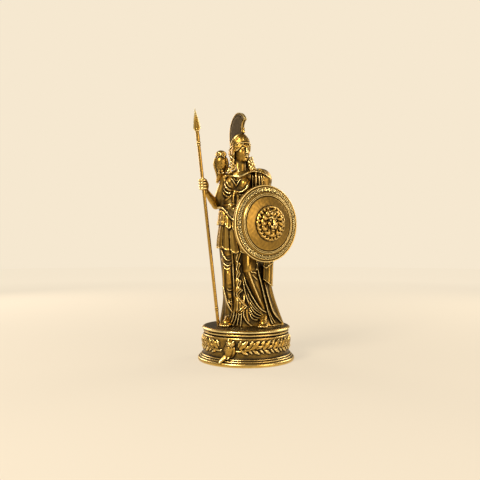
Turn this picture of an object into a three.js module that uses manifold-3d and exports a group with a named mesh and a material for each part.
// A cast statuette of Athena in antique brass: a robed woman in a crested helmet
// stands on a round plinth, with a spear in her right hand, a round shield on
// her left arm and an owl on her right shoulder.
//
// Millimetres, +Z up. The origin is the centre of the plinth's underside, the
// statuette faces -Y, and +X is the side of her left arm.
//
// The plinth, spear and shield are turned and extruded. The figure, the owls
// and the lion are free forms: each is modelled like clay, as a distance field
// on a grid, and its surface is then reduced to few triangles.

import * as THREE from "three";
import { mergeVertices } from "three/addons/utils/BufferGeometryUtils.js";
import Module from "manifold-3d";

// Plinth
const plinthHeight = 39;
const plinthFootRadius = 56;
const plinthFootHeight = 8.5;
const plinthDrumRadius = 49.8;
const plinthNeckRadius = 47.6;
const plinthNeckHeight = 2;
const plinthCapHeight = 6.5;
const plinthCapRadius = 51;
const laurelRelief = 1.5;
const laurelLeafLength = 13;
const laurelLeafWidth = 4.4;
const laurelPairs = 11;
const plinthOwlHeight = 21;
const plinthOwlAngle = -23;

// Figure, from the plinth to the top of the crest
const figureHeight = 248.4;

// Spear, which is longer than the figure by the extra
const spearExtra = 1.6;
const spearLength = figureHeight + spearExtra;
const spearRadius = 1.9;
const spearBladeLength = 25;
const spearBladeWidth = 8.5;
const spearBladeThickness = 3;
const spearSocketLength = 16;
const spearSocketRadius = 2.5;

// Shield
const shieldRadius = 44;
const shieldThickness = 2.4;
const shieldBulge = 8.5;
const shieldRimWidth = 2.6;
const shieldRimRelief = 1;
const shieldRingRadius = 32.5;
const shieldRingWidth = 2.2;
const shieldRingRelief = 0.9;
const meanderKeys = 24;
const meanderBandWidth = 6;
const meanderLineWidth = 1.2;
const meanderRelief = 0.8;
const lionRadius = 19.6;
const lionRelief = 8;
const shieldTurn = 35;

// Air left between pieces that touch
const clearance = 0.3;

// Fineness of the free forms
const figureGrain = 1.25;
const figureTriangles = 4750;
const plinthTriangles = 2300;
const shieldTriangles = 2500;
const owlTriangles = 260;
const lionTriangles = 800;

const wasm = await Module();
wasm.setup();

const V = (x, y, z) => new THREE.Vector3(x, y, z);
const { clamp, lerp, smoothstep, degToRad } = THREE.MathUtils;

// 1 inside the span from low to high, fading to 0 over the given width outside it.
const within = (value, low, high, fade) =>
  smoothstep(value, low - fade, low) * (1 - smoothstep(value, high, high + fade));

// The lower of two distances, with a fillet about as wide as blend.
function smoothMin(a, b, blend) {
  if (blend <= 0) return Math.min(a, b);
  const share = Math.max(blend - Math.abs(a - b), 0) / blend;
  return Math.min(a, b) - (share * share * blend) / 4;
}

// Shapes: each has a box that holds it and a distance, negative inside.

function ellipsoid(centre, radii) {
  const box = new THREE.Box3(centre.clone().sub(radii), centre.clone().add(radii));
  return {
    box,
    distance(x, y, z) {
      const u = (x - centre.x) / radii.x;
      const v = (y - centre.y) / radii.y;
      const w = (z - centre.z) / radii.z;
      const near = Math.hypot(u, v, w);
      const slope = Math.hypot(u / radii.x, v / radii.y, w / radii.z);
      return slope > 0 ? (near * (near - 1)) / slope : -Math.min(radii.x, radii.y, radii.z);
    },
  };
}

const ball = (centre, radius) => ellipsoid(centre, V(radius, radius, radius));

// A rounded bar through several points, with a radius at each of them.
function limb(points, radii) {
  const radiusAt = (i) => (Array.isArray(radii) ? radii[i] : radii);
  const box = new THREE.Box3();
  points.forEach((p, i) => {
    const reach = V(1, 1, 1).multiplyScalar(radiusAt(i));
    box.expandByPoint(p.clone().add(reach));
    box.expandByPoint(p.clone().sub(reach));
  });
  return {
    box,
    distance(x, y, z) {
      let nearest = Infinity;
      for (let i = 0; i + 1 < points.length; i++) {
        const a = points[i];
        const b = points[i + 1];
        const dx = b.x - a.x;
        const dy = b.y - a.y;
        const dz = b.z - a.z;
        const along = ((x - a.x) * dx + (y - a.y) * dy + (z - a.z) * dz) / (dx * dx + dy * dy + dz * dz);
        const t = clamp(along, 0, 1);
        const gap = Math.hypot(x - a.x - t * dx, y - a.y - t * dy, z - a.z - t * dz);
        nearest = Math.min(nearest, gap - lerp(radiusAt(i), radiusAt(i + 1), t));
      }
      return nearest;
    },
  };
}

// Any distance within a box.
const form = (low, high, distance) => ({ box: new THREE.Box3(low, high), distance });

// A shape modelled in a frame of its own, set into the frame of the clay.
function placed(shape, matrix) {
  const inverse = matrix.clone().invert().elements;
  return {
    box: shape.box.clone().applyMatrix4(matrix),
    distance(x, y, z) {
      const e = inverse;
      return shape.distance(
        e[0] * x + e[4] * y + e[8] * z + e[12],
        e[1] * x + e[5] * y + e[9] * z + e[13],
        e[2] * x + e[6] * y + e[10] * z + e[14],
      );
    },
  };
}

// The corners of a grid cell, so that corner n is opposite corner 7 - n.
const cellCorners = [];
for (let n = 0; n < 8; n++) cellCorners.push([n & 1, (n >> 1) & 1, n >> 2]);

// Clay: a grid of distances that shapes are added to and cut from.
class Clay {
  constructor(low, high, grain) {
    this.low = low;
    this.grain = grain;
    this.count = ["x", "y", "z"].map((axis) => Math.ceil((high[axis] - low[axis]) / grain) + 1);
    this.values = new Float32Array(this.count[0] * this.count[1] * this.count[2]).fill(this.far);
  }

  get far() {
    return 8 * this.grain;
  }

  index(i, j, k) {
    return (k * this.count[1] + j) * this.count[0] + i;
  }

  // Calls change(x, y, z, value) at each grid point in the box and keeps what it returns.
  each(box, margin, change) {
    const { low, grain, count, values } = this;
    const axes = ["x", "y", "z"];
    const first = axes.map((a) => Math.max(0, Math.floor((box.min[a] - margin - low[a]) / grain)));
    const last = axes.map((a, n) => {
      const end = Math.ceil((box.max[a] + margin - low[a]) / grain);
      return Math.min(count[n] - 1, end);
    });
    for (let k = first[2]; k <= last[2]; k++)
      for (let j = first[1]; j <= last[1]; j++)
        for (let i = first[0]; i <= last[0]; i++) {
          const at = this.index(i, j, k);
          values[at] = change(low.x + i * grain, low.y + j * grain, low.z + k * grain, values[at]);
        }
  }

  add(shape, blend = 0) {
    const reach = blend + 3 * this.grain;
    this.each(shape.box, reach, (x, y, z, v) => smoothMin(v, shape.distance(x, y, z), blend));
    return this;
  }

  cut(shape, blend = 0) {
    const reach = blend + 3 * this.grain;
    this.each(shape.box, reach, (x, y, z, v) => -smoothMin(-v, shape.distance(x, y, z), blend));
    return this;
  }

  // Raises the surface by height(x, y, z) wherever it lies in the box.
  emboss(low, high, height) {
    this.each(new THREE.Box3(low, high), 0, (x, y, z, v) => (v < this.far ? v - height(x, y, z) : v));
    return this;
  }

  // Fills grid points until no two solid corners of a cell meet only at an edge or a corner,
  // so that the surface has no edge with more than two faces.
  heal() {
    const { count, values } = this;
    const solid = (i, j, k) => values[this.index(i, j, k)] < 0;
    const fill = (i, j, k) => (values[this.index(i, j, k)] = -0.05 * this.grain);
    const planes = [
      [[1, 0, 0], [0, 1, 0]],
      [[0, 1, 0], [0, 0, 1]],
      [[0, 0, 1], [1, 0, 0]],
    ];
    const diagonals = [0, 1, 2, 4].map((n) => [cellCorners[n], cellCorners[7 - n]]);
    let changed = true;
    while (changed) {
      changed = false;
      for (let k = 0; k + 1 < count[2]; k++)
        for (let j = 0; j + 1 < count[1]; j++)
          for (let i = 0; i + 1 < count[0]; i++) {
            for (const [u, v] of planes) {
              const near = solid(i, j, k);
              const alongU = solid(i + u[0], j + u[1], k + u[2]);
              const alongV = solid(i + v[0], j + v[1], k + v[2]);
              const across = solid(i + u[0] + v[0], j + u[1] + v[1], k + u[2] + v[2]);
              if (near === across && alongU === alongV && near !== alongU) {
                if (near) fill(i + u[0], j + u[1], k + u[2]);
                else fill(i, j, k);
                changed = true;
              }
            }
            let inside = 0;
            for (const [a, b, c] of cellCorners) inside += solid(i + a, j + b, k + c) ? 1 : 0;
            for (const [a, b] of diagonals) {
              const first = solid(i + a[0], j + a[1], k + a[2]);
              const second = solid(i + b[0], j + b[1], k + b[2]);
              if (first && second && inside === 2) {
                fill(i + a[0], j + a[1], k + b[2]);
                changed = true;
              } else if (!first && !second && inside === 6) {
                fill(i + a[0], j + a[1], k + a[2]);
                changed = true;
              }
            }
          }
    }
  }

  // The surface as points and triangles: one point in each cell that the surface crosses.
  surface() {
    this.heal();
    const { low, grain, count, values } = this;
    const pointOf = new Int32Array(values.length).fill(-1);
    const points = [];
    const corner = cellCorners;
    for (let k = 0; k + 1 < count[2]; k++)
      for (let j = 0; j + 1 < count[1]; j++)
        for (let i = 0; i + 1 < count[0]; i++) {
          const v = corner.map(([a, b, c]) => values[this.index(i + a, j + b, k + c)]);
          const sum = [0, 0, 0];
          let crossings = 0;
          for (let n = 0; n < 8; n++)
            for (const axis of [0, 1, 2]) {
              const m = n | (1 << axis);
              if (m === n || v[n] < 0 === v[m] < 0) continue;
              const t = clamp(v[n] / (v[n] - v[m]), 0.02, 0.98);
              for (const c of [0, 1, 2]) sum[c] += corner[n][c] + (c === axis ? t : 0);
              crossings++;
            }
          if (!crossings) continue;
          pointOf[this.index(i, j, k)] = points.length / 3;
          points.push(
            low.x + (i + sum[0] / crossings) * grain,
            low.y + (j + sum[1] / crossings) * grain,
            low.z + (k + sum[2] / crossings) * grain,
          );
        }
    const triangles = [];
    const step = [1, count[0], count[0] * count[1]];
    for (let k = 1; k + 1 < count[2]; k++)
      for (let j = 1; j + 1 < count[1]; j++)
        for (let i = 1; i + 1 < count[0]; i++) {
          const at = this.index(i, j, k);
          for (const axis of [0, 1, 2]) {
            const inside = values[at] < 0;
            if (inside === values[at + step[axis]] < 0) continue;
            const u = step[(axis + 1) % 3];
            const v = step[(axis + 2) % 3];
            const quad = [at, at - u, at - u - v, at - v].map((c) => pointOf[c]);
            if (!inside) quad.reverse();
            triangles.push(quad[0], quad[1], quad[2], quad[0], quad[2], quad[3]);
          }
        }
    return { points, triangles };
  }
}

// Joins the ends of short or flat edges, cheapest first, until few enough
// triangles are left. The cost of a point is its squared distance from the
// planes of the faces that it stands for, times the care taken there.
function simplify({ points, triangles }, target, care = () => 1) {
  const corners = Uint32Array.from(triangles);
  const alive = new Uint8Array(corners.length / 3).fill(1);
  const position = Float64Array.from(points);
  const total = position.length / 3;
  const facesOf = Array.from({ length: total }, () => new Set());
  const quadric = new Float64Array(total * 10);
  const version = new Uint32Array(total);
  const at = (v) => V(position[3 * v], position[3 * v + 1], position[3 * v + 2]);
  const faceCorners = (f) => [corners[3 * f], corners[3 * f + 1], corners[3 * f + 2]];
  const normalOf = (a, b, c) => b.clone().sub(a).cross(c.clone().sub(a));
  let left = alive.length;

  for (let f = 0; f < alive.length; f++) {
    const [a, b, c] = faceCorners(f);
    const normal = normalOf(at(a), at(b), at(c));
    const weight = (normal.length() / 2) * care(at(a));
    normal.normalize();
    const n = [normal.x, normal.y, normal.z, -normal.dot(at(a))];
    for (const v of [a, b, c]) {
      facesOf[v].add(f);
      let q = v * 10;
      for (let i = 0; i < 4; i++) for (let j = i; j < 4; j++) quadric[q++] += n[i] * n[j] * weight;
    }
  }

  const neighbours = (v) => {
    const found = new Set();
    for (const f of facesOf[v]) for (const c of faceCorners(f)) if (c !== v) found.add(c);
    return found;
  };

  // The best place for a point that stands for both a and b, and its cost.
  const merged = (a, b) => {
    const q = [];
    for (let i = 0; i < 10; i++) q.push(quadric[a * 10 + i] + quadric[b * 10 + i]);
    const cost = ({ x, y, z }) =>
      q[0] * x * x + 2 * q[1] * x * y + 2 * q[2] * x * z + 2 * q[3] * x +
      q[4] * y * y + 2 * q[5] * y * z + 2 * q[6] * y + q[7] * z * z + 2 * q[8] * z + q[9];
    const pa = at(a);
    const pb = at(b);
    const middle = pa.clone().lerp(pb, 0.5);
    const candidates = [middle, pa, pb];
    const matrix = new THREE.Matrix3().set(q[0], q[1], q[2], q[1], q[4], q[5], q[2], q[5], q[7]);
    if (Math.abs(matrix.determinant()) > 1e-6) {
      const best = V(-q[3], -q[6], -q[8]).applyMatrix3(matrix.invert());
      if (best.distanceTo(middle) < 2 * pa.distanceTo(pb)) candidates.unshift(best);
    }
    let place = candidates[0];
    for (const p of candidates) if (cost(p) < cost(place)) place = p;
    return { place, cost: cost(place) + 1e-4 * pa.distanceToSquared(pb) };
  };

  const heap = [];
  const swap = (i, j) => ([heap[i], heap[j]] = [heap[j], heap[i]]);
  const push = (edge) => {
    let i = heap.push(edge) - 1;
    while (i > 0 && heap[(i - 1) >> 1].cost > heap[i].cost) {
      swap(i, (i - 1) >> 1);
      i = (i - 1) >> 1;
    }
  };
  const pop = () => {
    const top = heap[0];
    const last = heap.pop();
    if (!heap.length) return top;
    heap[0] = last;
    for (let i = 0; ; ) {
      let least = i;
      for (const c of [2 * i + 1, 2 * i + 2]) {
        if (c < heap.length && heap[c].cost < heap[least].cost) least = c;
      }
      if (least === i) return top;
      swap(i, least);
      i = least;
    }
  };
  const pushEdge = (a, b) => push({ a, b, ...merged(a, b), va: version[a], vb: version[b] });

  for (let v = 0; v < total; v++) for (const w of neighbours(v)) if (v < w) pushEdge(v, w);

  const turnsOver = (v, other, place) => {
    for (const f of facesOf[v]) {
      const c = faceCorners(f);
      if (c.includes(other)) continue;
      const before = normalOf(...c.map(at));
      const after = normalOf(...c.map((w) => (w === v ? place : at(w))));
      if (before.dot(after) < 0.25 * before.length() * after.length() || after.length() < 1e-3) return true;
    }
    return false;
  };

  while (left > target && heap.length) {
    const { a, b, place, va, vb } = pop();
    if (version[a] !== va || version[b] !== vb || !facesOf[a].size || !facesOf[b].size) continue;
    const around = neighbours(a);
    let shared = 0;
    for (const w of neighbours(b)) if (around.has(w)) shared++;
    if (shared !== 2 || around.size === 3 || turnsOver(a, b, place) || turnsOver(b, a, place)) continue;
    position.set([place.x, place.y, place.z], 3 * a);
    for (let i = 0; i < 10; i++) quadric[a * 10 + i] += quadric[b * 10 + i];
    for (const f of facesOf[b]) {
      const c = faceCorners(f);
      if (c.includes(a)) {
        alive[f] = 0;
        left--;
        for (const w of c) if (w !== b) facesOf[w].delete(f);
      } else {
        corners[3 * f + c.indexOf(b)] = a;
        facesOf[a].add(f);
      }
    }
    facesOf[b].clear();
    version[a]++;
    version[b]++;
    for (const w of neighbours(a)) pushEdge(a, w);
  }

  const kept = [];
  for (let f = 0; f < alive.length; f++) if (alive[f]) kept.push(...faceCorners(f));
  const geometry = new THREE.BufferGeometry();
  geometry.setAttribute("position", new THREE.Float32BufferAttribute(position, 3));
  geometry.setIndex(kept);
  return geometry;
}

// A geometry as a solid that can be joined and cut.
function solid(geometry, matrix = new THREE.Matrix4()) {
  const bare = geometry.clone().applyMatrix4(matrix);
  bare.deleteAttribute("normal");
  bare.deleteAttribute("uv");
  const merged = mergeVertices(bare, 1e-4);
  const corners = [];
  for (let i = 0; i < merged.index.count; i += 3) {
    const [a, b, c] = [0, 1, 2].map((n) => merged.index.getX(i + n));
    if (a !== b && b !== c && c !== a) corners.push(a, b, c);
  }
  return new wasm.Manifold(
    new wasm.Mesh({
      numProp: 3,
      vertProperties: new Float32Array(merged.attributes.position.array),
      triVerts: new Uint32Array(corners),
    }),
  );
}

// A solid of revolution about Z, from a profile of [radius, height] that goes up
// and starts and ends on the axis.
function turned(profile, segments) {
  const points = profile.map(([radius, height]) => new THREE.Vector2(Math.max(radius, 0), height));
  return solid(new THREE.LatheGeometry(points, segments).rotateX(Math.PI / 2));
}

// A cylinder about Z from one height to another.
const cylinder = (radius, from, to, segments) =>
  turned([[0, from], [radius, from], [radius, to], [0, to]], segments);

const joined = (solids) => wasm.Manifold.union(solids);

// The main surface of a solid, without loose crumbs and closed hollows inside.
const whole = (manifold) => manifold.decompose().sort((a, b) => b.volume() - a.volume())[0];

// A solid with its flattest edges joined until few enough triangles are left.
function lightened(manifold, target) {
  const { vertProperties, triVerts } = whole(manifold).getMesh();
  return solid(simplify({ points: vertProperties, triangles: triVerts }, target));
}

// A solid back as a geometry, faceted so that each face is shaded flat.
function geometryOf(manifold) {
  const { vertProperties, triVerts } = manifold.getMesh();
  const geometry = new THREE.BufferGeometry();
  geometry.setAttribute("position", new THREE.Float32BufferAttribute(vertProperties, 3));
  geometry.setIndex(Array.from(triVerts));
  const faceted = geometry.toNonIndexed();
  faceted.computeVertexNormals();
  return faceted;
}

// Folds

// Rounded pipes with sharp grooves between them, one for each unit of phase.
const pipes = (phase) => Math.abs(Math.sin(Math.PI * phase)) ** 0.8;

// Pleats that hang between two edges and spread from top to bottom, from 0 to 1 high.
function pleats(x, z, { top, bottom, left, right, count, flare = 1 }) {
  if (z > top || z < bottom - 1) return 0;
  const fallen = clamp((top - z) / (top - bottom), 0, 1);
  const share = fallen ** flare;
  const start = lerp(left[0], left[1], share);
  const across = (x - start) / (lerp(right[0], right[1], share) - start);
  if (across < 0 || across > 1) return 0;
  return pipes(across * count) * smoothstep(fallen, 0, 0.12);
}

// Swags slung between two points, one below the other, from 0 to 1 high.
function swags(x, z, { left, right, sag, count, lean = 1 }) {
  const across = (x - left[0]) / (right[0] - left[0]);
  if (across <= 0.02 || across >= 0.98) return 0;
  const share = across ** lean;
  const fallen = (lerp(left[1], right[1], across) - z) / (4 * share * (1 - share) * sag);
  if (fallen < 0 || fallen > 1) return 0;
  return pipes(fallen * count) * Math.min(1, 6 * across, 6 * (1 - across));
}

// The figure, drawn in sizes of its own above the plinth and then scaled to its height

const pose = {
  pelvis: V(-14, 1, 118),
  belly: V(-12.5, 0, 140),
  chest: V(-9, 1.5, 160),
  girdle: V(-12.3, -12, 154),
  neck: V(-6.5, 1, 178),
  head: V(-5.8, -2, 204),
  headTurn: 38,
  rightShoulder: V(-23.5, 3, 170.5),
  rightElbow: V(-35.5, 5, 140),
  rightWrist: V(-46.3, -13.5, 155.5),
  rightHand: V(-48.9, -18, 161.9),
  leftShoulder: V(17.5, 1, 171),
  leftElbow: V(31.5, -7, 136),
  leftHand: V(10, -35.5, 114),
  rightHip: V(-19, 1, 113),
  rightKnee: V(-20, -6, 62),
  rightAnkle: V(-19.5, -6, 9),
  rightToes: V(-25, -23, 2.6),
  leftHip: V(0, 1, 113),
  leftKnee: V(4.5, -14.5, 65),
  leftAnkle: V(21, -12, 13),
  leftToes: V(20.5, -30, 2.6),
  spearFoot: V(-31.8, -8, 0),
  shieldCentre: V(22.8, -27, 117),
  perch: V(-28, -1, 175.5),
};

// The robe's outline seen from above, at evenly spaced levels from hem to hip:
// how far its middle stands to the side, half its width, and half its depth.
const robeTop = 124;
const robeLevels = new THREE.CatmullRomCurve3([
  V(6, 37.5, 20),
  V(3, 29.5, 16),
  V(-1.5, 26.5, 14.5),
  V(-8.5, 23, 14),
  V(-14.5, 18.5, 13),
]);

// A column with an oval section that changes with height. The levels are points
// of middle, half width and half depth, and back is how far behind the axis it stands.
function column(levels, low, high, back, surfaceHeight = () => 0) {
  const table = levels.getPoints(128);
  const sectionAt = (z) => table[Math.round(clamp((z - low) / (high - low), 0, 1) * 128)];
  const widest = Math.max(...table.map((s) => Math.abs(s.x) + s.y)) + 3;
  const deepest = Math.max(...table.map((s) => s.z)) + 3;
  return form(V(-widest, back - deepest, low), V(widest, back + deepest, high), (x, y, z) => {
    const { x: middle, y: halfWidth, z: halfDepth } = sectionAt(z);
    const u = (x - middle) / halfWidth;
    const v = (y - back) / halfDepth;
    const near = Math.hypot(u, v);
    const slope = Math.hypot(u / halfWidth, v / halfDepth) || 1;
    const side = (near * (near - 1)) / slope;
    return Math.max(side - surfaceHeight(x, y, z, Math.atan2(v, u)), low - z, z - high);
  });
}

// The folds of the robe: families of pleats and swags on the front, and even
// pleats round the sides and the back.
const frontPleats = [
  { top: 84, bottom: 0, left: [-13.5, -18], right: [-4, -1], count: 4, rise: 2.6 },
  { top: 60, bottom: 0, left: [-33, -36], right: [-17, -17], count: 3, flare: 1.2, rise: 1.7 },
  { top: 92, bottom: 0, left: [11, 25], right: [27, 45], count: 5, flare: 1.3, rise: 2.6 },
  { top: 50, bottom: 0, left: [-2, 0], right: [4, 14], count: 3, flare: 1.3, rise: 1.6 },
];
const frontSwags = [
  { left: [-32, 90], right: [-11, 92], sag: 42, count: 3, rise: 1.8 },
  { left: [0, 42], right: [21, 14], sag: 15, count: 4, lean: 0.8, rise: 1.8 },
];
const backPleats = 24;

function robeHeight(x, y, z) {
  const section = robeLevels.getPoint(clamp(z / robeTop, 0, 1));
  const angle = Math.atan2((y - 0.5) / section.z, (x - section.x) / section.y);
  const back = (0.5 + 1.4 * (1 - z / robeTop)) * pipes((backPleats * angle) / (2 * Math.PI));
  let front = 0;
  for (const family of frontPleats) front += family.rise * pleats(x, z, family);
  for (const family of frontSwags) front += family.rise * swags(x, z, family);
  return lerp(back, front, smoothstep(-y, 2, 7)) - 0.6;
}

// The free edge of the overfold, which falls in a zigzag beside the middle pleats.
function cascade() {
  const top = 84;
  const fold = 20;
  const turn = 0.35;
  const edgeAt = (z) => {
    const folds = (top - z) / fold;
    const part = folds - Math.floor(folds);
    const open = part < turn ? 1 - part / turn : (part - turn) / (1 - turn);
    return -9 + 0.45 * folds ** 2 + 2.6 * folds * open;
  };
  const skin = (x, z) => Math.max(-12 - x, x - edgeAt(z));
  return form(V(-14, -24, 1), V(11, -8, top), (x, y, z) => {
    const depth = 13.5 + 2.2 * (1 - z / top) + 0.02 * x;
    return Math.max(skin(x, z), Math.abs(y + depth) - 1.3, z - top, -1 - z);
  });
}

function sculptRobe(clay) {
  clay.add(column(robeLevels, -2, robeTop, 0.5));
  clay.add(limb([pose.rightHip, pose.rightKnee, pose.rightAnkle], [12, 8.6, 5]), 3);
  clay.add(limb([pose.leftHip, pose.leftKnee, pose.leftAnkle], [12, 9.2, 5]), 3);
  clay.emboss(V(-50, -34, -4), V(50, 30, 96), robeHeight);
  clay.add(cascade(), 0.8);
}

function sculptFoot(clay, ankle, toes) {
  const heading = toes.clone().sub(ankle).setZ(0).normalize();
  const aside = V(-heading.y, heading.x, 0);
  const instep = ankle.clone().lerp(toes, 0.62).setZ(4);
  clay.add(limb([ankle, instep], [4.6, 4]), 1.5);
  for (let toe = -2; toe <= 2; toe++) {
    const root = instep.clone().addScaledVector(aside, 1.9 * toe).setZ(2.6);
    const tip = toes.clone().addScaledVector(aside, 2 * toe);
    tip.addScaledVector(heading, -0.5 * Math.abs(toe + 1)).setZ(1.8);
    clay.add(limb([root, tip], [2.3, 1.5]), 0.7);
  }
}

// A skirt of straps over the hips: long ones, and a short rounded row above them.
const strapCount = 16;
const strapRows = [
  { top: 122, bottom: 86.5, rise: 1.5, flare: 2.2, round: 2.6, shift: 0 },
  { top: 128, bottom: 112, rise: 2.6, flare: 0.9, round: 5, shift: 0.5 },
];

function strapRow({ top, bottom, rise, flare, round, shift }) {
  const heightAt = (x, y, z, angle) => {
    const along = (strapCount * angle) / (2 * Math.PI) + shift;
    const off = Math.abs(2 * (along - Math.floor(along)) - 1);
    const sideways = 4.5 * Math.abs(Math.cos(angle)) ** 2;
    const end = bottom + sideways + round * off ** 3;
    const lifted = rise + flare * clamp((top - z) / (top - bottom), 0, 1) - 1.8 * smoothstep(off, 0.7, 1);
    return z < end ? -3 : lifted;
  };
  return column(robeLevels, 0, robeTop, 0.5, heightAt);
}

function sculptStraps(clay) {
  for (const row of strapRows) {
    const skirt = strapRow(row);
    skirt.box.min.z = row.bottom - 1;
    skirt.box.max.z = row.top;
    const distance = skirt.distance;
    skirt.distance = (x, y, z) =>
      Math.max(distance(x, y, Math.min(z, robeTop)), z - row.top, row.bottom - 1 - z);
    clay.add(skirt, 0.5);
  }
  clay.emboss(V(-38, -20, 118), V(12, 18, 142), (x, y, z) => {
    const front = Math.max(0, (0.5 - y) / Math.hypot(x + 13, y - 0.5));
    const line = 137 - 15 * front ** 4 - 0.25 * (x + 14) * front;
    return 1.6 * within(z - line, -0.6, 0.6, 1.2);
  });
}

function sculptTorso(clay) {
  clay.add(ellipsoid(pose.pelvis, V(18.5, 13.5, 18)), 3);
  clay.add(ellipsoid(pose.belly, V(14, 10.8, 17)), 6);
  clay.add(ellipsoid(pose.chest, V(16.5, 11.3, 18)), 6);
  clay.add(limb([pose.rightShoulder, pose.chest.clone().setZ(174), pose.leftShoulder], [6.2, 8, 7]), 4);
  clay.add(limb([pose.neck, pose.head], [6, 5.2]), 3);
  for (const side of [-1, 1]) {
    clay.add(ellipsoid(pose.girdle.clone().add(V(2.2 + 7.8 * side, 2.6, 10)), V(6.6, 6, 7.4)), 3);
  }
  clay.emboss(V(-32, -24, 140), V(16, -2, 166), (x, y, z) => {
    const dx = x - pose.girdle.x;
    const dz = z - pose.girdle.z;
    const reach = Math.hypot(dx, dz);
    const lower = within(reach, 3, 15, 4) * smoothstep(-dz, -9, -2);
    return 1.1 * lower * (pipes((11 * Math.atan2(dz, dx)) / Math.PI) - 0.5);
  });
  clay.add(ball(pose.girdle.clone().add(V(0, -1.5, 0)), 2.4), 0.8);
  clay.add(ball(V(-16.5, -12.5, 138.5), 3.3), 0.8);
}

// The mantle: over the left shoulder, down the back, and hanging from the left arm.
function sculptMantle(clay) {
  const levels = new THREE.CatmullRomCurve3([
    V(4, 25, 12),
    V(-1, 22, 11),
    V(-3, 20, 9),
    V(-2, 19, 6.5),
    V(0, 14, 2.5),
  ]);
  const hanging = (x, y, z, angle) =>
    (0.6 + 1.3 * (1 - z / 181)) * pipes((20 * angle) / (2 * Math.PI) + 0.003 * z);
  clay.add(column(levels, 14, 181, 8, hanging), 3);
  clay.add(ellipsoid(pose.leftShoulder.clone().add(V(0.5, 1, -2)), V(12.8, 11.5, 14.5)), 3);
  clay.emboss(V(4, -20, 140), V(32, 4, 186), (x, y, z) =>
    2.2 * pleats(x, z, { top: 186, bottom: 140, left: [4, 5], right: [19, 32], count: 5 }) - 0.8,
  );
  const swing = pose.leftElbow.clone().add(V(-4, 2, -4));
  const end = V(24.8, -8.5, 47);
  const fall = form(V(14, -20, 40), V(33, 4, 140), (x, y, z) => {
    const t = clamp((swing.z - z) / (swing.z - end.z), 0, 1);
    const u = (x - lerp(swing.x, end.x, t)) / 6.2;
    const v = (y - lerp(swing.y, end.y, t)) / 5.2;
    const slant = z - (end.z - 0.75 * (x - end.x) * Math.cos(0.35 * (x - end.x)));
    return Math.max((Math.hypot(u, v) - 1) * 5.2 - 0.7 * pipes(0.28 * x), -slant);
  });
  clay.add(fall, 1);
}

function sculptArms(clay) {
  clay.add(limb([pose.rightShoulder, pose.rightElbow], [6, 4.6]), 3);
  const rightForearm = pose.rightElbow.clone().lerp(pose.rightWrist, 0.35);
  clay.add(limb([pose.rightElbow, rightForearm, pose.rightWrist], [4.5, 4.5, 2.9]), 1.5);
  clay.add(limb([pose.leftShoulder, pose.leftElbow], [7.5, 5.6]), 3);
  clay.add(limb([pose.leftElbow, pose.leftHand], [5, 3.6]), 2);
  clay.add(ball(pose.leftHand, 4.8), 1);
}

// A fist round the spear, with the fingers across the front.
function sculptFist(clay) {
  const along = pose.rightHand.clone().sub(pose.spearFoot).normalize();
  const grip = (spearRadius + clearance) / figureScale;
  clay.add(ellipsoid(pose.rightHand.clone().add(V(3, 2.5, -0.5)), V(3.2, 3.8, 6)), 1);
  clay.add(limb([pose.rightWrist, pose.rightHand.clone().add(V(3, 2.5, -1))], [2.9, 3]), 1.5);
  for (let finger = 0; finger < 4; finger++) {
    const knuckle = pose.rightHand.clone().addScaledVector(along, 3.1 * (1.5 - finger));
    const curl = [];
    for (let step = 0; step <= 8; step++) {
      const angle = degToRad(-15 + step * 30);
      curl.push(knuckle.clone().add(V(Math.cos(angle), -Math.sin(angle), 0).multiplyScalar(grip + 1.3)));
    }
    clay.add(limb(curl, 1.65), 0.3);
  }
  const thumb = pose.rightHand.clone().addScaledVector(along, 6.6);
  clay.add(limb([thumb.clone().add(V(3.4, 0.5, -2)), thumb.clone().add(V(0.5, -3.2, 0))], [2, 1.5]), 0.4);
}

// The head, modelled looking along -Y from a point between the eyes' height and the ears.
function headShapes() {
  const forward = (x, y, z) => V(x, -y, z);
  const add = [
    [ellipsoid(forward(0, -1.5, 3), V(9.2, 11.2, 10.5)), 0],
    [ellipsoid(forward(0, 2.8, -4.2), V(7.2, 7.4, 9)), 2.5],
    [ball(forward(0, 7.4, -10.6), 2.6), 2],
    [limb([forward(0, 9.3, 1.5), forward(0, 12, -4.4)], [1.1, 1.6]), 1.2],
    [ellipsoid(forward(0, 9.2, -7.6), V(2.7, 1.7, 1.5)), 0.8],
  ];
  const cut = [[forward(0, 11.4, -7.6), V(2.6, 0.8, 0.35)]];
  for (const side of [-1, 1]) {
    add.push([ball(forward(4.2 * side, 5.6, -4.6), 3.4), 2]);
    add.push([limb([forward(1.6 * side, 9.6, 2), forward(5.6 * side, 7.6, 2)], 1.3), 1.2]);
    add.push([ball(forward(3.5 * side, 7.6, -0.4), 2), 0.3]);
  }
  return { add, cut };
}

// Helmet: a bowl, a raised frontlet over its front half, and the crest.
const helmet = {
  centre: V(0, 1, 5),
  radii: V(11.8, 13.8, 16.2),
  rimFront: 5.6,
  rimSlope: -0.28,
  frontletTop: 19.5,
  frontletSlope: -1.3,
  frontletRise: 1.1,
};
const crest = {
  middle: [-4, 21],
  radii: [16.4, 23.4],
  hollow: [14.8, 25.6],
  hollowRadius: 10.8,
  tail: 2,
  halfThickness: 1.7,
  rimRise: 0.7,
  rimWidth: 2.4,
};

const drawnHeight = pose.head.z + crest.middle[1] + crest.radii[1];
const figureScale = figureHeight / drawnHeight;

function helmetShape(rise, extra) {
  const bowl = ellipsoid(helmet.centre, helmet.radii.clone().addScalar(rise));
  const rim = (y) => helmet.rimFront + helmet.rimSlope * (y + 12);
  return form(bowl.box.min, bowl.box.max, (x, y, z) =>
    Math.max(bowl.distance(x, y, z), 0.95 * (rim(y) - z), extra ? extra(y, z) : -Infinity),
  );
}

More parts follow.
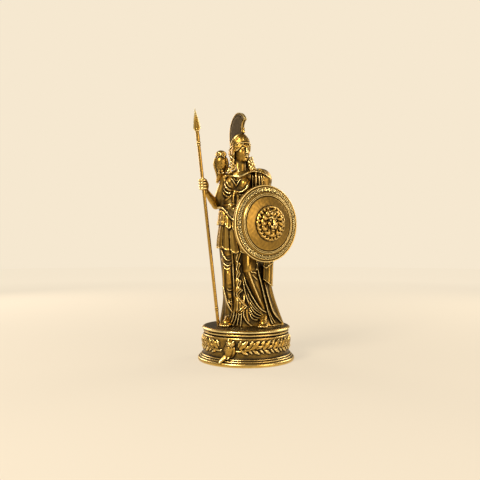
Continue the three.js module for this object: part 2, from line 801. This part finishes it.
function crestShape() {
  const [a0, z0] = crest.middle;
  const [ra, rz] = crest.radii;
  return form(V(-3, -14, crest.tail - 2), V(3, 22, z0 + rz + 1), (x, y, z) => {
    const a = -y;
    const upper = (Math.hypot((a - a0) / ra, (z - z0) / rz) - 1) * ra;
    const outer = z > z0 ? upper : Math.max(a0 - ra - a, a - a0 - 8);
    const hollow = crest.hollowRadius - Math.hypot(a - crest.hollow[0], z - crest.hollow[1]);
    const narrowing = 1 - 0.55 * smoothstep(z0 - z, 6, 18);
    const rim = crest.rimRise * smoothstep(outer, -crest.rimWidth - 0.4, -crest.rimWidth);
    const side = Math.abs(x) - (crest.halfThickness + rim) * narrowing;
    return Math.max(outer, hollow, side, crest.tail - z);
  });
}

function sculptHead(clay) {
  const frame = new THREE.Matrix4().makeRotationZ(degToRad(pose.headTurn)).setPosition(pose.head);
  const { add, cut } = headShapes();
  for (const [shape, blend] of add) clay.add(placed(shape, frame), blend);
  for (const [centre, radii] of cut) clay.cut(placed(ellipsoid(centre, radii), frame), 0.3);
  for (const side of [-1, 1]) {
    const wave = [
      V(1.5 * side, -10.8, 5.4),
      V(6.6 * side, -8.4, 3.4),
      V(9.4 * side, -3.4, 0.4),
      V(9.4 * side, 2.5, -4),
      V(7 * side, 8, -8),
    ];
    clay.add(placed(limb(wave, [1.6, 2.2, 2.5, 2.8, 3]), frame), 0.8);
  }
  clay.add(placed(ellipsoid(V(0, 7.5, -6), V(8.6, 5.4, 9)), frame), 1.5);
  clay.add(placed(helmetShape(0), frame), 0.4);
  const upper = (y, z) => 0.6 * (z - helmet.frontletTop - helmet.frontletSlope * (y + 4));
  clay.add(placed(helmetShape(helmet.frontletRise, upper), frame), 0.3);
  clay.add(placed(crestShape(), frame), 0.4);
}

// A lock of hair that coils downwards along a line.
function lock(start, end, coil, radius, turns) {
  const points = [];
  const steps = Math.round(turns * 7);
  for (let step = 0; step <= steps; step++) {
    const angle = (step / steps) * turns * 2 * Math.PI;
    const turn = V(coil * Math.cos(angle), coil * Math.sin(angle), 0);
    points.push(start.clone().lerp(end, step / steps).add(turn));
  }
  return limb(points, radius);
}

function sculptHair(clay) {
  clay.add(lock(V(-16.5, -3, 200), V(-20, -8.5, 177), 1.6, 2, 3.5), 0.6);
  clay.add(lock(V(3, -1, 198), V(6.5, -7, 181), 1.6, 2, 2.5), 0.6);
  clay.add(lock(V(-13.5, 2, 200), V(-14, -5, 180), 1.3, 1.9, 3.5), 0.6);
}

// A collar of folded cloth from shoulder to shoulder below the neck.
function sculptCollar(clay) {
  const collar = [
    V(-23, -3, 176),
    V(-16, -10, 172),
    V(-8, -12.5, 170.5),
    V(2, -10.5, 174),
    V(10, -6, 180),
    V(20, 0, 184),
  ];
  clay.add(limb(collar, [2, 2, 1.9, 1.9, 2, 2.4]), 1.2);
}

// An owl that stands on its frame's origin and looks along -Y, 28.4 high at scale 1.
const owlDrawnHeight = 28.4;

function owlShapes(tail) {
  const shapes = [
    [ellipsoid(V(0, 0.4, 11), V(7.4, 7, 10.8)), 0],
    [ellipsoid(V(0, -0.8, 22.9), V(6.6, 6, 5.5)), 1.2],
    [limb([V(0, 5, 7), V(0, 5, 7).lerp(tail, 0.6), tail], [4.4, 3, 2.2]), 1.5],
    [limb([V(0, -6.6, 23.4), V(0, -7.8, 20.8)], [1, 0.6]), 0.2],
  ];
  for (const side of [-1, 1]) {
    shapes.push([ellipsoid(V(5.8 * side, 1.8, 9.6), V(2.9, 6.6, 11)), 0.5]);
    shapes.push([limb([V(0.6 * side, -6.8, 23.6), V(4.9 * side, -4.6, 27.2)], 0.8), 0.3]);
    shapes.push([limb([V(2.6 * side, -4, 3), V(2.8 * side, -6.2, 0.2)], [2.4, 1.3]), 0.6]);
    const disc = [];
    for (let step = 0; step <= 8; step++) {
      const angle = (step / 8) * 2 * Math.PI;
      const off = 2.9 * side + 2.4 * Math.cos(angle);
      disc.push(V(off, -5.9 + 0.12 * Math.abs(off) ** 1.5, 23 + 2.4 * Math.sin(angle)));
    }
    shapes.push([limb(disc, 0.6), 0.2]);
    shapes.push([ball(V(2.9 * side, -5.6, 23), 1.1), 0.1]);
  }
  return shapes;
}

function sculptOwl(clay, tail, frame = new THREE.Matrix4()) {
  for (const [shape, blend] of owlShapes(tail)) clay.add(placed(shape, frame), blend);
}

function makeFigure() {
  const clay = new Clay(V(-57, -44, -8), V(52, 32, drawnHeight + 3), figureGrain);
  sculptRobe(clay);
  sculptStraps(clay);
  sculptTorso(clay);
  sculptMantle(clay);
  sculptArms(clay);
  sculptFist(clay);
  sculptHead(clay);
  sculptHair(clay);
  sculptCollar(clay);
  sculptFoot(clay, pose.rightAnkle, pose.rightToes);
  sculptFoot(clay, pose.leftAnkle, pose.leftToes);
  sculptOwl(clay, V(-5, 6, -9), new THREE.Matrix4().setPosition(pose.perch));
  const care = (p) => (p.distanceTo(pose.head) < 18 || p.distanceTo(pose.rightHand) < 9 ? 5 : 1);
  const geometry = simplify(clay.surface(), figureTriangles, care);
  return solid(geometry.scale(figureScale, figureScale, figureScale));
}

// Places of the pieces

const plinthTop = V(0, 0, plinthHeight);
const onFigure = (p) => p.clone().multiplyScalar(figureScale).add(plinthTop);

const spearLine = onFigure(pose.rightHand).sub(onFigure(pose.spearFoot)).normalize();
const spearSide = V(1, 0, 0).addScaledVector(spearLine, -spearLine.x).normalize();
const spearLift = (clearance + spearRadius * Math.sqrt(1 - spearLine.z ** 2)) / spearLine.z;
const spearPlace = new THREE.Matrix4()
  .makeBasis(spearSide, spearLine.clone().cross(spearSide), spearLine)
  .setPosition(onFigure(pose.spearFoot).addScaledVector(spearLine, spearLift));

// The shield's own Z looks out of its face, and its Y points up.
const shieldFacing = V(Math.sin(degToRad(shieldTurn)), -Math.cos(degToRad(shieldTurn)), 0);
const shieldPlace = new THREE.Matrix4()
  .makeBasis(V(0, 0, 1).cross(shieldFacing), V(0, 0, 1), shieldFacing)
  .setPosition(onFigure(pose.shieldCentre));
const figurePlace = new THREE.Matrix4().setPosition(plinthTop);

// Plinth

const plinthSegments = 44;

// A leaf of the laurel, with its size given as shares of the longest leaf.
function laurelBlade(angle, height, tilt, longShare, wideShare) {
  const halfLength = (longShare * laurelLeafLength) / 2;
  const halfWidth = (wideShare * laurelLeafWidth) / 2;
  const blade = new THREE.OctahedronGeometry(1).scale(halfLength, laurelRelief, halfWidth);
  blade.rotateY(-tilt).translate(0, -plinthDrumRadius, height).rotateZ(angle);
  return solid(blade);
}

// Two branches that start on either side of the owl and meet at the back: sprays
// of leaves that point up and away from it, over a row of small blades.
function laurelBranches() {
  const middle = (plinthFootHeight + plinthHeight - plinthCapHeight - plinthNeckHeight) / 2;
  const start = degToRad(plinthOwlAngle);
  const blades = [];
  for (const side of [-1, 1]) {
    for (let n = 0; n < laurelPairs; n++) {
      const angle = start + side * (0.22 + ((n + 0.5) / laurelPairs) * (Math.PI - 0.3));
      const step = (side * 1.9) / plinthDrumRadius;
      const lean = (tilt) => (side > 0 ? tilt : Math.PI - tilt);
      blades.push(laurelBlade(angle, middle + 3.4, lean(0.8), 1, 1));
      blades.push(laurelBlade(angle + 1.8 * step, middle + 1, lean(0.45), 0.7, 0.8));
      blades.push(laurelBlade(angle - step, middle - 4, lean(-0.7), 0.55, 0.55));
      blades.push(laurelBlade(angle + step, middle - 4, lean(-0.7), 0.55, 0.55));
    }
  }
  return blades;
}

function makePlinthOwl() {
  const clay = new Clay(V(-16, -12, -12), V(11, 12, owlDrawnHeight + 3), 1.1);
  sculptOwl(clay, V(-10.5, -2.5, -7.5));
  const scale = plinthOwlHeight / owlDrawnHeight;
  const geometry = simplify(clay.surface(), owlTriangles).scale(scale, scale, scale);
  geometry.translate(0, -plinthDrumRadius - 0.5, plinthFootHeight + 0.5);
  return solid(geometry.rotateZ(degToRad(plinthOwlAngle)));
}

function makePlinth() {
  const foot = plinthFootRadius;
  const drum = plinthDrumRadius;
  const neck = plinthHeight - plinthCapHeight;
  const body = turned(
    [
      [0, 0],
      [foot - 1, 0],
      [foot, 0.2 * plinthFootHeight],
      [foot, 0.48 * plinthFootHeight],
      [foot - 1.6, 0.62 * plinthFootHeight],
      [foot - 3.6, 0.64 * plinthFootHeight],
      [foot - 3.6, 0.93 * plinthFootHeight],
      [drum + 0.8, plinthFootHeight],
      [drum, plinthFootHeight + 3],
      [drum, neck - plinthNeckHeight],
      [plinthNeckRadius, neck - plinthNeckHeight],
      [plinthNeckRadius, neck],
      [plinthCapRadius - 1.5, neck],
      [plinthCapRadius - 1.5, neck + 0.5 * plinthCapHeight],
      [plinthCapRadius, neck + 0.65 * plinthCapHeight],
      [plinthCapRadius, neck + 0.88 * plinthCapHeight],
      [plinthCapRadius - 1.2, plinthHeight],
      [0, plinthHeight],
    ],
    plinthSegments,
  );
  return lightened(joined([body, ...laurelBranches(), makePlinthOwl()]), plinthTriangles);
}

// Spear

function makeSpear() {
  const shaft = spearLength - spearBladeLength - spearSocketLength;
  const body = turned(
    [
      [0, 0],
      [spearRadius, 0],
      [spearRadius, 0.06 * shaft],
      [spearRadius + 0.5, 0.064 * shaft],
      [spearRadius, 0.068 * shaft],
      [spearRadius, shaft],
      [spearSocketRadius, shaft + 0.5],
      [spearSocketRadius, shaft + 1.8],
      [0.85 * spearSocketRadius, shaft + 2.4],
      [0.95 * spearSocketRadius, shaft + 0.45 * spearSocketLength],
      [0.8 * spearSocketRadius, shaft + spearSocketLength],
      [0, shaft + spearSocketLength + 2],
    ],
    12,
  );
  const base = shaft + spearSocketLength;
  const profile = [
    [0, -2],
    [0.62, -1.2],
    [1, 1.5],
    [0.72, 0.42 * spearBladeLength],
    [0, spearBladeLength],
  ];
  const half = spearBladeWidth / 2;
  const outline = profile.map(([share, height]) => new THREE.Vector2(share * half, base + height));
  const blade = new THREE.LatheGeometry(outline, 4).rotateX(Math.PI / 2);
  return joined([body, solid(blade.scale(1, spearBladeThickness / spearBladeWidth, 1))]);
}

// Shield

const shieldSegments = 36;
const shieldFront = (r) => shieldBulge * (1 - (r / shieldRadius) ** 2);
const shieldBack = (r) => shieldFront(r) - shieldThickness;
const armBossRadius = 8;
const armBossBack = -1.5;
const backRadii = [0, 0.3, 0.55, 0.75, 0.92].map((share) => share * (shieldRadius - 1));

// The lion's head, 19.3 in radius and 9.2 high as drawn.
const lionDrawnRadius = 19.3;
const lionDrawnRelief = 9.2;

function lionShapes() {
  const shapes = [[ellipsoid(V(0, 0, 0), V(18, 18.2, 1.6)), 0]];
  const ring = (count, from, to, radii, swirl, shift) => {
    for (let n = 0; n < count; n++) {
      const at = ((n + shift) / count) * 2 * Math.PI;
      const point = ([r, z], share) => {
        const angle = at + swirl * share;
        return V(r * Math.sin(angle), r * Math.cos(angle), z);
      };
      const bend = point([(from[0] + to[0]) / 2, from[1] + 0.8], 0.2);
      shapes.push([limb([point(from, 0), bend, point(to, 1)], [radii[0], radii[0], radii[1]]), 0.3]);
    }
  };
  ring(14, [11, 2.5], [18, 0.8], [2.3, 1.3], 0.25, 0);
  ring(10, [7.5, 5], [13, 3.4], [2.3, 1.5], -0.3, 0.5);
  shapes.push([ellipsoid(V(0, -0.5, 3.6), V(6.2, 8, 3.8)), 0.6]);
  shapes.push([limb([V(0, 4.5, 6.6), V(0, -2.4, 7.6)], [1.4, 1.8]), 0.8]);
  shapes.push([ball(V(0, -7.4, 4.6), 2), 0.6]);
  for (const side of [-1, 1]) {
    shapes.push([ball(V(1.8 * side, -4.4, 5.9), 2.2), 0.5]);
    shapes.push([limb([V(1.4 * side, 3.4, 6.4), V(4.6 * side, 2.4, 5)], 1.3), 0.5]);
    shapes.push([ball(V(4.4 * side, -1.2, 4.6), 2), 0.6]);
    shapes.push([ball(V(5.6 * side, 6.6, 4.6), 1.8), 0.4]);
  }
  return shapes;
}

// A shape laid over the shield's dome.
function domed(shape) {
  const box = shape.box.clone();
  box.min.z -= shieldBulge - shieldFront(1.4 * lionRadius);
  const fall = (x, y) => shieldBulge - shieldFront(Math.hypot(x, y));
  return { box, distance: (x, y, z) => shape.distance(x, y, z + fall(x, y)) };
}

function makeLion() {
  const clay = new Clay(V(-23, -23, -9), V(23, 23, 13), 1.05);
  for (const [shape, blend] of lionShapes()) clay.add(domed(shape), blend);
  const across = lionRadius / lionDrawnRadius;
  const geometry = simplify(clay.surface(), lionTriangles);
  geometry.scale(across, across, lionRelief / lionDrawnRelief).translate(0, 0, shieldBulge - 0.2);
  return solid(geometry);
}

// Hooks of a meander, one after another round the shield.
function meander() {
  const middle = (shieldRadius - shieldRimWidth + shieldRingRadius + shieldRingWidth / 2) / 2;
  const pitch = (2 * Math.PI * middle) / meanderKeys;
  const tall = meanderBandWidth;
  const wide = 0.68 * pitch;
  const line = meanderLineWidth;
  const hook = new THREE.Shape(
    [
      [-wide / 2, -tall / 2],
      [wide / 2, -tall / 2],
      [wide / 2, tall / 2],
      [-wide / 2, tall / 2],
      [-wide / 2, 0],
      [-wide / 2 + line, 0],
      [-wide / 2 + line, tall / 2 - line],
      [wide / 2 - line, tall / 2 - line],
      [wide / 2 - line, -tall / 2 + line],
      [-wide / 2, -tall / 2 + line],
    ].map(([x, y]) => new THREE.Vector2(x, y)),
  );
  const slope = Math.atan((2 * shieldBulge * middle) / shieldRadius ** 2);
  const keys = [];
  for (let n = 0; n < meanderKeys; n++) {
    const key = new THREE.ExtrudeGeometry(hook, { depth: 1 + meanderRelief, bevelEnabled: false });
    key.translate(0, 0, -1).rotateX(-slope).translate(0, middle, shieldFront(middle));
    keys.push(solid(key.rotateZ((n / meanderKeys) * 2 * Math.PI)));
  }
  return keys;
}

function makeShield() {
  const inRim = shieldRadius - shieldRimWidth;
  const half = shieldRingWidth / 2;
  const above = (r, rise) => [r, shieldFront(r) + rise];
  const plate = turned(
    [
      ...backRadii.map((r) => [r, shieldBack(r)]),
      [shieldRadius - 0.8, -shieldThickness],
      [shieldRadius, -shieldThickness + 0.8],
      [shieldRadius, 0],
      [shieldRadius - 0.8, shieldRimRelief],
      above(inRim + 0.6, shieldRimRelief),
      above(inRim, 0),
      above(shieldRingRadius + half, 0),
      above(shieldRingRadius + 0.5 * half, shieldRingRelief),
      above(shieldRingRadius - 0.5 * half, shieldRingRelief),
      above(shieldRingRadius - half, 0),
      above(0.55 * shieldRadius, 0),
      above(0.3 * shieldRadius, 0),
      [0, shieldBulge],
    ],
    shieldSegments,
  );
  const boss = cylinder(armBossRadius, armBossBack, shieldBack(0) + 1, 20);
  return lightened(joined([plate, boss, makeLion(), ...meander()]), shieldTriangles);
}

// What the shield and its boss take out of the figure behind them.
function shieldRoom() {
  const back = (r) => [r, shieldBack(r) - clearance];
  const rim = shieldRadius + clearance;
  const front = 2 * shieldBulge;
  const outline = [...backRadii.map(back), [rim, -shieldThickness - clearance], [rim, front], [0, front]];
  const plate = turned(outline, shieldSegments);
  const boss = cylinder(armBossRadius + clearance, armBossBack - clearance, shieldBulge, 20);
  return joined([plate, boss]);
}

// Assembly

function fittedFigure() {
  const toFigure = figurePlace.clone().invert();
  const floor = solid(new THREE.BoxGeometry(300, 300, 20).translate(0, 0, clearance - 10));
  const sleeve = cylinder(spearRadius + clearance, -10, spearLength, 16);
  const inPlace = (made, place) => made.transform(toFigure.clone().multiply(place).elements);
  return whole(
    makeFigure()
      .subtract(floor)
      .subtract(inPlace(sleeve, spearPlace))
      .subtract(inPlace(shieldRoom(), shieldPlace)),
  );
}

const brass = new THREE.MeshStandardMaterial({ color: 0xb08a3e, metalness: 1, roughness: 0.35 });
const statue = new THREE.Group();
for (const [name, made, place] of [
  ["plinth", makePlinth(), new THREE.Matrix4()],
  ["figure", fittedFigure(), figurePlace],
  ["spear", makeSpear(), spearPlace],
  ["shield", makeShield(), shieldPlace],
]) {
  const mesh = new THREE.Mesh(geometryOf(made), brass.clone());
  mesh.name = name;
  mesh.applyMatrix4(place);
  statue.add(mesh);
}

export default statue;
